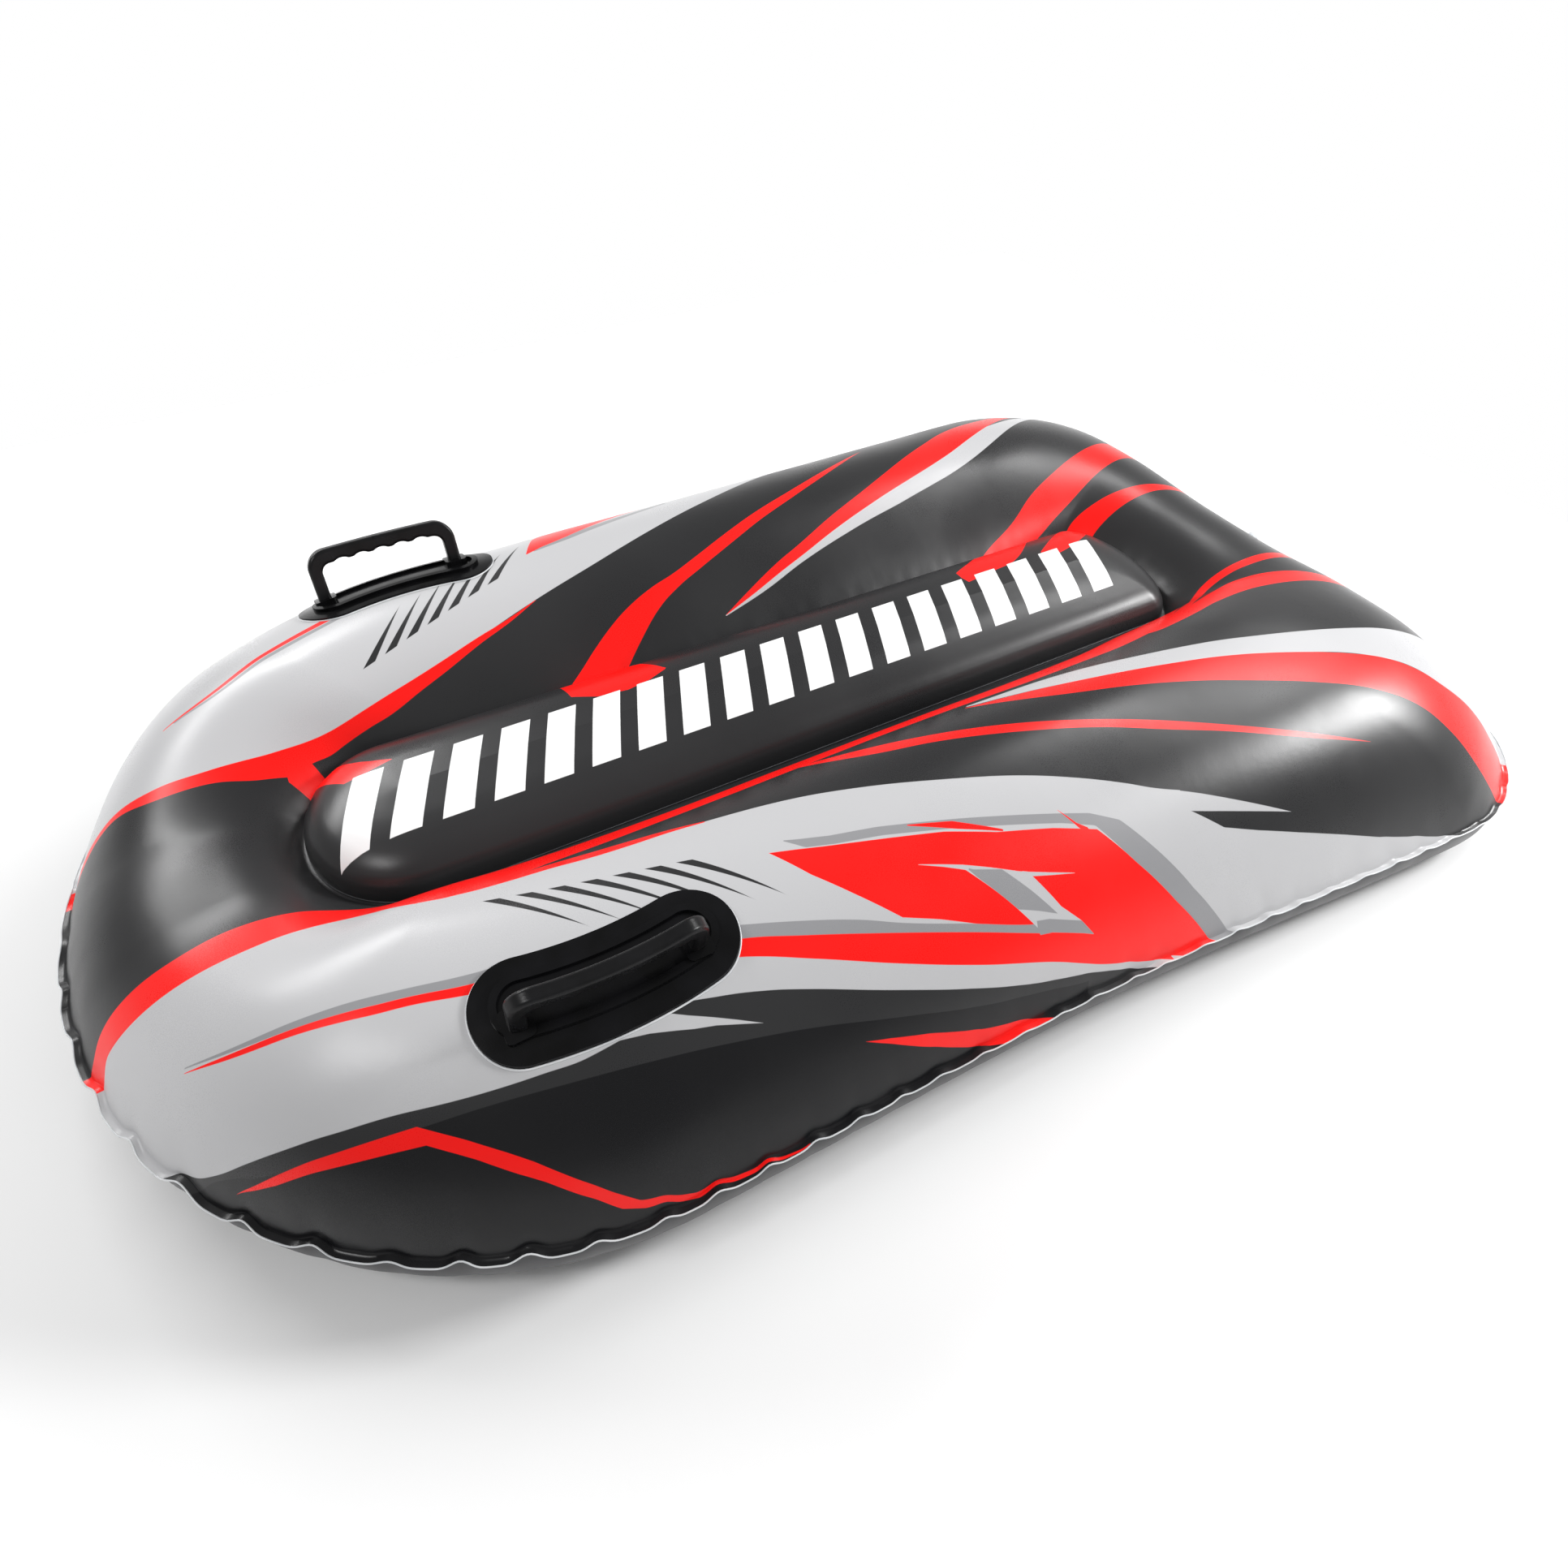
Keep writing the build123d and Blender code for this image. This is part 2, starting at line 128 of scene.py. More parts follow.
def hermite(p0, p1, m0, m1, count=80):
    """Points of a cubic from p0 to p1 with end velocities m0 and m1."""
    u = np.linspace(0, 1, count)[:, None]
    p0, p1, m0, m1 = (np.array(v, float) for v in (p0, p1, m0, m1))
    return (
        (2 * u**3 - 3 * u**2 + 1) * p0
        + (u**3 - 2 * u**2 + u) * m0
        + (3 * u**2 - 2 * u**3) * p1
        + (u**3 - u**2) * m1
    )


def spline(points, first, last):
    """Smooth curve through points, with unit directions at its ends."""
    pts = [np.array(p, float) for p in points]
    first, last = (np.array(v, float) / np.linalg.norm(v) for v in (first, last))
    gaps = [np.linalg.norm(b - a) for a, b in zip(pts, pts[1:])]
    if len(pts) == 2:
        slopes = [first, last]
    else:
        h0, h1 = gaps
        pull = 3 * ((pts[1] - pts[0]) / h0**2 + (pts[2] - pts[1]) / h1**2) - first / h0 - last / h1
        slopes = [first, pull / (2 / h0 + 2 / h1), last]
    runs = [
        hermite(a, b, g * m, g * n)
        for a, b, g, m, n in zip(pts, pts[1:], gaps, slopes, slopes[1:])
    ]
    return np.vstack([r if i == 0 else r[1:] for i, r in enumerate(runs)])


def rim_curve():
    """Half of the rim, from the nose tip to the middle of the tail."""
    turn = np.linspace(-math.pi / 2, 0, 160)
    half = BOARD_LENGTH / 2
    nose = np.stack([NOSE_HALF_WIDTH * np.cos(turn), NOSE_LENGTH - half + NOSE_LENGTH * np.sin(turn)], 1)
    corner_start = (TAIL_HALF_WIDTH, half - TAIL_CORNER)
    side = spline([nose[-1], WAIST, corner_start], (0, 1), (0.05, 1))
    inset = (1 - math.sqrt(0.5)) * TAIL_CORNER
    corner_end = (TAIL_HALF_WIDTH - TAIL_CORNER, half)
    corner = spline(
        [corner_start, (TAIL_HALF_WIDTH - inset, half - inset), corner_end], (0.05, 1), (-1, 0)
    )
    tail = spline([corner_end, (0, half - TAIL_HOLLOW)], (-1, 0), (-1, 0))
    return np.vstack([nose, side[1:], corner[1:], tail[1:]])


def by_length(curve, share):
    """Points of a curve at shares of its length."""
    steps = np.linalg.norm(np.diff(curve, axis=0), axis=1)
    at = np.concatenate([[0], np.cumsum(steps)])
    at /= at[-1]
    return np.stack([np.interp(share, at, curve[:, k]) for k in range(curve.shape[1])], -1)


def oval_curve(inset, count=200):
    """Half of the oval, drawn smaller by an inset, with the same number of points in each of its runs."""
    nose, tail = OVAL_HALF[0] - inset, OVAL_HALF[1] - inset
    nose_end, tail_end = OVAL_END[0] * nose / OVAL_HALF[0], OVAL_END[1] * tail / OVAL_HALF[1]
    start, end = OVAL_Y[0] + inset + nose_end, OVAL_Y[1] - inset - tail_end
    turn = np.linspace(0, math.pi / 2, count)
    front = np.stack([nose * np.sin(turn), start - nose_end * np.cos(turn)], 1)
    back = np.stack([tail * np.cos(turn), end + tail_end * np.sin(turn)], 1)
    run = np.linspace(front[-1], back[0], count)
    return np.vstack([front, run[1:-1], back])


BASE_OVAL = oval_curve(0)
OVAL_STEPS = np.concatenate([[0], np.cumsum(np.linalg.norm(np.diff(BASE_OVAL, axis=0), axis=1))])
OVAL_STEPS /= OVAL_STEPS[-1]


def oval_at(share, inset):
    """Points at the base oval's shares, on the oval drawn smaller by an inset."""
    curve = oval_curve(inset)
    return np.stack([np.interp(share, OVAL_STEPS, curve[:, k]) for k in range(2)], -1)


def blend_keys(keys, share):
    """Value at shares of the way along, eased from key to key."""
    value = np.full_like(share, float(keys[0][1]))
    for (a, low), (b, high) in zip(keys, keys[1:]):
        value += (high - low) * ease((share - a) / (b - a))
    return value


class Stations:
    """The tube's upright slices, at shares of the way from the nose to the tail."""

    def __init__(self, share):
        self.share = share
        rim = rim_curve()
        self.rim = by_length(rim, share)
        self.rim_length = float(np.linalg.norm(np.diff(rim, axis=0), axis=1).sum())
        self.oval = oval_at(share, 0)
        across = self.oval - self.rim
        self.span = np.linalg.norm(across, axis=1)
        self.inward = across / self.span[:, None]
        self.rim_z = RIM_Z[0] + (RIM_Z[1] - RIM_Z[0]) * (self.rim[:, 1] / BOARD_LENGTH + 0.5)
        self.oval_z = OVAL_Z + OVAL_SLOPE * self.oval[:, 1]
        self.floor = NOSE_LIFT * (1 - ease(share / NOSE_LIFT_SHARE))
        rise = blend_keys(ARC_RISES, share)
        climb = self.oval_z - self.rim_z
        chord = np.hypot(self.span, climb)
        self.radius = (chord**2 / 4 + rise**2) / (2 * rise)
        drop = self.radius - rise
        self.cx = self.span / 2 + drop * climb / chord
        self.cz = (self.rim_z + self.oval_z) / 2 - drop * self.span / chord
        self.end = np.arctan2(self.oval_z - self.cz, self.span - self.cx)
        self.start = math.pi - np.arcsin((self.rim_z - self.cz) / self.radius)

    def place(self, x, z):
        """3-D points at distances in from the rim and heights, one column per station."""
        xy = self.rim + self.inward * x[:, None]
        return np.column_stack([xy, z])


# ---------------------------------------------------------------- wrinkles and seam waves
def fractal(points, size, seed):
    """Smooth noise at points in millimetres, about -1 to 1."""
    shift = Vector((seed * 17.3, seed * -9.1, seed * 5.7))
    return np.array([noise.noise(Vector(p) / size + shift) for p in points])


def seam_phase(stations):
    """Turns of the rim's wave counted from the nose, closer together towards the tail."""
    nose_pitch, tail_pitch = WAVE_PITCH
    pitch = nose_pitch + (tail_pitch - nose_pitch) * ease_from(stations.share, *PITCH_CHANGE)
    step = np.gradient(stations.share) * stations.rim_length / pitch
    turns = np.cumsum(step) - step[0]
    return turns * round(turns[-1] * 2) / (turns[-1] * 2)


def seam_wave(stations, side):
    """How far the rim rises and pulls in at each station: broad sags with narrow peaks between them."""
    turns = seam_phase(stations)
    spot = np.column_stack([stations.rim[:, 0] * side, stations.rim[:, 1], stations.rim_z])
    ends = ease(stations.share / STILL_END) * ease((1 - stations.share) / STILL_END)
    jitter = WAVE_JITTER * fractal(spot, *JITTER_NOISE) * ends
    peak = (0.5 + 0.5 * np.cos(2 * math.pi * (turns + jitter))) ** PEAK_SHARPNESS
    nose = 1 - ease_from(stations.share, *NOSE_WAVES)
    tail = ease_from(stations.share, *TAIL_WAVES)
    waist_height, nose_extra, tail_extra = WAVE_HEIGHTS
    height = waist_height + nose_extra * nose + tail_extra * tail
    return peak * (0.75 + 0.5 * fractal(spot, *HEIGHT_NOISE)) * height


def film_mesh(name, points, flat, columns, rows, flip):
    """Mesh of a grid of points, with the printed film's own coordinates as an attribute."""
    mesh = bpy.data.meshes.new(name)
    faces = []
    for c in range(columns - 1):
        for r in range(rows - 1):
            a = c * rows + r
            quad = (a, a + 1, a + rows + 1, a + rows)
            faces.append(quad[::-1] if flip else quad)
    mesh.from_pydata((points * MM).tolist(), [], faces)
    layer = mesh.attributes.new("film", "FLOAT_VECTOR", "POINT")
    layer.data.foreach_set("vector", (np.asarray(flat) * MM).astype(np.float32).ravel())
    mesh.update()
    return mesh


def finish_mesh(obj, thickness):
    """Gives a one-sided film its thickness, inwards, and smooth shading."""
    solid = obj.modifiers.new("film", "SOLIDIFY")
    solid.thickness = thickness * MM
    solid.offset = -1
    bpy.context.view_layer.update()
    done = bpy.data.meshes.new_from_object(obj.evaluated_get(bpy.context.evaluated_depsgraph_get()))
    obj.modifiers.clear()
    obj.data = done
    obj.data.polygons.foreach_set("use_smooth", [True] * len(obj.data.polygons))
    obj.data.set_sharp_from_angle(angle=CREASE_ANGLE)
    return obj


def add_object(name, mesh, material):
    """Object of one material, linked to the scene."""
    obj = bpy.data.objects.new(name, mesh)
    scene.collection.objects.link(obj)
    mesh.materials.append(material)
    return obj


def weld(mesh):
    """Merges the points of a mesh that lie on each other."""
    work = bmesh.new()
    work.from_mesh(mesh)
    bmesh.ops.remove_doubles(work, verts=work.verts, dist=MERGE_DISTANCE * MM)
    bmesh.ops.dissolve_degenerate(work, edges=work.edges, dist=THINNEST_EDGE * MM)
    work.to_mesh(mesh)
    work.free()
    mesh.update()


def open_valves(mesh):
    """Cuts a film away where the sleeves of the two valves go through it."""
    work = bmesh.new()
    work.from_mesh(mesh)
    for name, axis in VALVE_AXES.items():
        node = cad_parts[name]
        corners = [node.matrix_world @ vertex.co for vertex in node.data.vertices]
        middle = sum(corners, Vector()) / len(corners)
        inside = []
        for face in work.faces:
            off = face.calc_center_median() - middle
            along_axis = off.dot(axis)
            if abs(along_axis) < VALVE_REACH and (off - along_axis * axis).length < VALVE_OPENING:
                inside.append(face)
        bmesh.ops.delete(work, geom=inside, context="FACES")
    work.to_mesh(mesh)
    work.free()
    mesh.update()


def spaced(count, dense):
    """Steps from 0 to 1, closer together at both ends."""
    u = np.linspace(0, 1, count)
    return u - dense * np.sin(2 * math.pi * u) / (2 * math.pi)


def seam_pull(points, stations, side, distance, reach):
    """Moves points near the rim with its wave: up at a peak, and in towards the tube."""
    wave = seam_wave(stations, side)
    near = np.exp(-distance / reach)
    shift = np.column_stack([stations.inward * (PULL_IN * wave * near)[:, None], wave * near])
    shift[:, 0] *= side
    return points + shift


# ---------------------------------------------------------------- top film
def along():
    """Shares of the rim's length for the mesh's columns."""
    return np.linspace(0, 1, COLUMNS)


def pad_height(keys, inset):
    """Height of a pad film at an inset from the weld. keys: (inset, height)."""
    at = np.array(keys, float)
    return float(np.interp(inset, at[:, 0], at[:, 1]))


def pad_rows(stations, side, keys, sign):
    """Rows of a pad film's points from the weld to the middle line, with the plan position of each."""
    rows = []
    for inset in PAD_INSETS + [OVAL_HALF[1]]:
        xy = oval_at(stations.share, min(WELD_LAP + inset, DEEPEST_INSET)) * [side, 1]
        if inset == OVAL_HALF[1]:
            xy = xy * [0, 1]
        height = pad_height(keys, inset)
        base = OVAL_Z + OVAL_SLOPE * xy[:, 1]
        rows.append((np.column_stack([xy, base + sign * height]), xy))
    return rows


def top_film(name, side, material):
    """One side of the printed film: flange, upper half of the tube, and pad up to the middle line."""
    stations = Stations(along())
    rows, flats = [], []
    zero = np.zeros(COLUMNS)
    arc = stations.radius * (stations.start - stations.end)
    for x in FLANGE_ROWS:
        points = stations.place(zero + x, stations.rim_z + SEAM_GAP) * [side, 1, 1]
        rows.append(seam_pull(points, stations, side, zero, FLANGE_REACH))
        flats.append((stations.oval - stations.inward * (arc - x)[:, None]) * [side, 1])
    for t in spaced(ARC_ROWS, ARC_CROWDING)[1:]:
        angle = stations.start + (stations.end - stations.start) * t
        x = stations.cx + stations.radius * np.cos(angle)
        z = stations.cz + stations.radius * np.sin(angle)
        normal = np.column_stack([stations.inward * np.cos(angle)[:, None], np.sin(angle)]) * [side, 1, 1]
        points = stations.place(x, z) * [side, 1, 1]
        from_rim = stations.radius * (stations.start - angle)
        from_oval = stations.radius * (angle - stations.end)
        flats.append((stations.oval - stations.inward * from_oval[:, None]) * [side, 1])
        rows.append(shape_film(points, normal, stations, side, from_rim, from_oval))
    for points, xy in pad_rows(stations, side, PAD_TOP, 1):
        rows.append(points)
        flats.append(xy)
    grid = np.stack(rows, 1).reshape(-1, 3)
    film = np.stack(flats, 1).reshape(-1, 2)
    film = np.column_stack([film, np.zeros(len(film))])
    close_middle(grid)
    mesh = film_mesh(name, grid, film, COLUMNS, len(rows), side > 0)
    weld(mesh)
    open_valves(mesh)
    return finish_mesh(add_object(name, mesh, material), TOP_FILM)


def close_middle(grid):
    """Puts the points of the middle line exactly on it."""
    grid[np.abs(grid[:, 0]) < ON_MIDDLE, 0] = 0


def puckers(points, size, seed, height, distance, reach, start):
    """Small wrinkles beside a weld. They begin a little way from it and fade with distance."""
    return height * fractal(points, size, seed) * np.exp(-distance / reach) * np.clip(distance / start, 0, 1)


def shape_film(points, normal, stations, side, from_rim, from_oval):
    """Soft waves of the blown-up film, flat under the handle patches, with puckers along both welds."""
    broad = sum(height * fractal(points, size, seed) for height, size, seed in TUBE_WAVES)
    ends = np.clip(from_rim / CALM_AT_RIM, 0, 1) * np.clip(from_oval / CALM_AT_OVAL, 0, 1)
    across = (np.abs(points[:, 0]) - HANDLE_SPOT[0]) / HANDLE_CALM[0]
    lengthways = (points[:, 1] - HANDLE_SPOT[1]) / HANDLE_CALM[1]
    calm = np.clip(HANDLE_CALM_STRENGTH * np.exp(-(across**2) - lengthways**2), 0, 1)
    lift = broad * ends * (1 - calm)
    lift += puckers(points * [1, 1, OVAL_PUCKER_STRETCH], *OVAL_PUCKERS[:3], from_oval, *OVAL_PUCKERS[3:])
    lift += puckers(points, *RIM_PUCKERS[:3], from_rim, *RIM_PUCKERS[3:])
    points = points + normal * lift[:, None]
    return seam_pull(points, stations, side, from_rim, TOP_REACH)


# ---------------------------------------------------------------- bottom film
def bottom_half(side):
    """One side of the bottom film as a grid of points, from the flange to the middle line."""
    count = COLUMNS // 2
    stations = Stations(np.linspace(0, 1, count))
    zero = np.zeros(count)
    rows = []
    rim, floor = stations.rim_z, stations.floor
    bilge = rim - SEAM_GAP - floor
    rise = stations.oval_z - floor
    reach = stations.span - bilge - FLOOR_FLAT
    radius = (reach**2 + rise**2) / (2 * rise)
    sweep = np.arctan2(reach, radius - rise)
    for x in FLANGE_ROWS:
        points = stations.place(zero + x, rim - SEAM_GAP) * [side, 1, 1]
        rows.append(seam_pull(points, stations, side, zero, FLANGE_REACH))
    for k in spaced(BILGE_ROWS, BILGE_CROWDING)[1:]:
        turn = k * math.pi / 2
        swell = BILGE_SWELL * math.sin(2 * turn) * ease(k / SWELL_START)
        x, z = bilge * (1 - math.cos(turn)) - swell, floor + bilge * (1 - math.sin(turn))
        points = stations.place(x, z) * [side, 1, 1]
        rows.append(seam_pull(points, stations, side, bilge * turn, BILGE_REACH))
    for k in FLOOR_ROWS:
        rows.append(stations.place(bilge + FLOOR_FLAT * k, floor) * [side, 1, 1])
    for k in spaced(WALL_ROWS, WALL_CROWDING)[1:]:
        turn = sweep * k
        x = bilge + FLOOR_FLAT + radius * np.sin(turn)
        z = floor + radius * (1 - np.cos(turn))
        points = stations.place(x, z - WELD_GAP * k) * [side, 1, 1]
        waves = sum(height * fractal(points, size, seed) for height, size, seed in WALL_WAVES)
        points[:, 2] += math.sin(math.pi * k) ** 2 * waves
        rows.append(points)
    for points, _ in pad_rows(stations, side, PAD_FLOOR, -1):
        points[:, 2] -= WELD_GAP
        rows.append(points)
    grid = np.stack(rows, 1).reshape(-1, 3)
    grid[:, 2] = np.maximum(grid[:, 2], 0.0)
    close_middle(grid)
    return grid, count, len(rows)


def bottom_film(name, material):
    """Both sides of the bottom film in one mesh."""
    points, faces = [], []
    for side in (1, -1):
        base = sum(len(grid) for grid in points)
        grid, count, length = bottom_half(side)
        points.append(grid)
        for c in range(count - 1):
            for r in range(length - 1):
                a = base + c * length + r
                quad = (a, a + length, a + length + 1, a + 1)
                faces.append(quad if side > 0 else quad[::-1])
    mesh = bpy.data.meshes.new(name)
    mesh.from_pydata((np.vstack(points) * MM).tolist(), [], faces)
    weld(mesh)
    open_valves(mesh)
    return finish_mesh(add_object(name, mesh, material), BOTTOM_FILM)


# ---------------------------------------------------------------- beads: thin round lines along welded edges
def bead(name, path, radius, material):
    """Thin round line along a closed path of points in millimetres."""
    path = np.asarray(path, float)
    ahead = np.roll(path, -1, 0) - np.roll(path, 1, 0)
    ahead /= np.linalg.norm(ahead, axis=1)[:, None]
    across = np.cross(ahead, [0, 0, 1])
    across /= np.linalg.norm(across, axis=1)[:, None]
    over = np.cross(across, ahead)
    rings = []
    for k in range(BEAD_SIDES):
        turn = 2 * math.pi * k / BEAD_SIDES
        rings.append(path + radius * (math.cos(turn) * across + math.sin(turn) * over))
    points = np.stack(rings, 1).reshape(-1, 3)
    faces = []
    for c in range(len(path)):
        here, there = c * BEAD_SIDES, (c + 1) % len(path) * BEAD_SIDES
        for k in range(BEAD_SIDES):
            m = (k + 1) % BEAD_SIDES
            faces.append((here + k, here + m, there + m, there + k))
    mesh = bpy.data.meshes.new(name)
    mesh.from_pydata((points * MM).tolist(), [], faces)
    mesh.update()
    obj = add_object(name, mesh, material)
    mesh.polygons.foreach_set("use_smooth", [True] * len(mesh.polygons))
    return obj


def rim_edge_path():
    """The cut edge of the two welded films, all the way round."""
    stations = Stations(along())
    zero = np.zeros(COLUMNS)
    runs = []
    for side in (1, -1):
        points = stations.place(zero - FLANGE - RIM_BEAD_OUT, stations.rim_z) * [side, 1, 1]
        runs.append(seam_pull(points, stations, side, zero, FLANGE_REACH))
    return np.vstack([runs[0], runs[1][-2:0:-1]])


def patch_arc():
    """Centre and radius of the arc through the three points of a patch's middle line."""
    (x0, y0), (x1, y1), (x2, y2) = PATCH_ARC
    a, b, c = 2 * (x1 - x0), 2 * (y1 - y0), x1**2 + y1**2 - x0**2 - y0**2
    d, e, f = 2 * (x2 - x1), 2 * (y2 - y1), x2**2 + y2**2 - x1**2 - y1**2
    centre = np.array([(c * e - f * b) / (a * e - d * b), (a * f - d * c) / (a * e - d * b)])
    return centre, float(np.hypot(x0 - centre[0], y0 - centre[1]))


def circle(turns):
    """Points of the unit circle."""
    return np.column_stack([np.cos(turns), np.sin(turns)])


def patch_edge_path(side, film):
    """Outline of a handle patch, laid on the printed film a little outside the patch's own edge."""
    centre, radius = patch_arc()
    start, end = PATCH_ARC[0], PATCH_ARC[2]
    low, high = (math.atan2(y - centre[1], x - centre[0]) for x, y in (start, end))
    half = PATCH_WIDTH / 2
    turns = np.linspace(low, high, PATCH_STEPS)
    outer = centre + (radius + half) * circle(turns)
    inner = centre + (radius - half) * circle(turns)
    half_turn = np.linspace(0, math.pi, CAP_STEPS)[1:-1]
    end_cap = np.array(end) + half * circle(high + half_turn)
    start_cap = np.array(start) + half * circle(low + math.pi + half_turn)
    loop = np.vstack([outer, end_cap, inner[::-1], start_cap]) * [side, 1]
    tree = BVHTree.FromObject(film, bpy.context.evaluated_depsgraph_get())
    path = []
    for x, y in loop:
        hit, normal, _, _ = tree.ray_cast(Vector((x * MM, y * MM, RAY_START)), Vector((0, 0, -1)))
        path.append((hit + normal * PATCH_BEAD_LIFT * MM) / MM)
    return np.array(path)


def pad_edge_path():
    """The line where the pad meets the ring, all the way round."""
    half = oval_at(along(), WELD_LAP + PAD_BEAD_INSET)
    loop = np.vstack([half, (half * [-1, 1])[-2:0:-1]])
    return np.column_stack([loop, OVAL_Z + OVAL_SLOPE * loop[:, 1] + PAD_BEAD_LIFT])


# ---------------------------------------------------------------- materials
class Nodes:
    """Short way to add and join shader nodes."""

    def __init__(self, name):
        self.material = bpy.data.materials.new(name)
        self.material.use_nodes = True
        self.tree = self.material.node_tree
        self.shader = self.tree.nodes["Principled BSDF"]

    def put(self, value, socket):
        """Links a socket, or sets a plain value on it."""
        if isinstance(value, bpy.types.NodeSocket):
            self.tree.links.new(value, socket)
        else:
            socket.default_value = value

    def math(self, operation, *values):
        node = self.tree.nodes.new("ShaderNodeMath")
        node.operation = operation
        for value, socket in zip(values, node.inputs):
            self.put(value, socket)
        return node.outputs[0]

    def spread(self, value, low, high, out_low=0.0, out_high=1.0):
        """Spreads low to high over the output range, and holds the value at both ends."""
        node = self.tree.nodes.new("ShaderNodeMapRange")
        for v, socket in zip((value, low, high, out_low, out_high), node.inputs):
            self.put(v, socket)
        return node.outputs[0]

    def noise(self, scale, detail=3.0, rough=0.55):
        node = self.tree.nodes.new("ShaderNodeTexNoise")
        node.inputs["Scale"].default_value = scale
        node.inputs["Detail"].default_value = detail
        node.inputs["Roughness"].default_value = rough
        place = self.tree.nodes.new("ShaderNodeTexCoord").outputs["Object"]
        self.put(place, node.inputs["Vector"])
        return node.outputs["Fac"]

    def attribute(self, name):
        node = self.tree.nodes.new("ShaderNodeAttribute")
        node.attribute_name = name
        return node.outputs["Vector"]

    def split(self, vector):
        node = self.tree.nodes.new("ShaderNodeSeparateXYZ")
        self.put(vector, node.inputs[0])
        return node.outputs

    def mix(self, factor, first, second):
        node = self.tree.nodes.new("ShaderNodeMix")
        node.data_type = "RGBA"
        self.put(factor, node.inputs["Factor"])
        for value, socket in ((first, node.inputs[6]), (second, node.inputs[7])):
            self.put(value, socket)
        return node.outputs[2]

    def bump(self, height, strength, distance, normal=None):
        node = self.tree.nodes.new("ShaderNodeBump")
        node.inputs["Strength"].default_value = strength
        node.inputs["Distance"].default_value = distance
        self.put(height, node.inputs["Height"])
        if normal:
            self.put(normal, node.inputs["Normal"])
        return node.outputs[0]

    def finish(self, **sockets):
        """Sets the shader's sockets, named with _ for a space."""
        for name, value in sockets.items():
            self.put(value, self.shader.inputs[name.replace("_", " ")])
        return self.material


SILVER = (0.49, 0.49, 0.5, 1)
GREY = (0.27, 0.27, 0.28, 1)
FIELD = (0.014, 0.014, 0.015, 1), (0.026, 0.026, 0.027, 1)
CHARCOAL = (0.02, 0.02, 0.021, 1)
# painted shade: a black darker than the field, put on the near flank that faces away from the lamps
FLANK_SHADE_BLACK = (0.004, 0.004, 0.005, 1)
RED = (0.94, 0.004, 0.002, 1)
WHITE = (0.85, 0.85, 0.85, 1)
WIDE = 500.0
EDGE = 0.25
SHARP_TIP, BLUNT_TIP = 4, 1
TICK_BEND, TICK_WIDTH, TICK_TAPER = 0.22, 3.2, 3.3


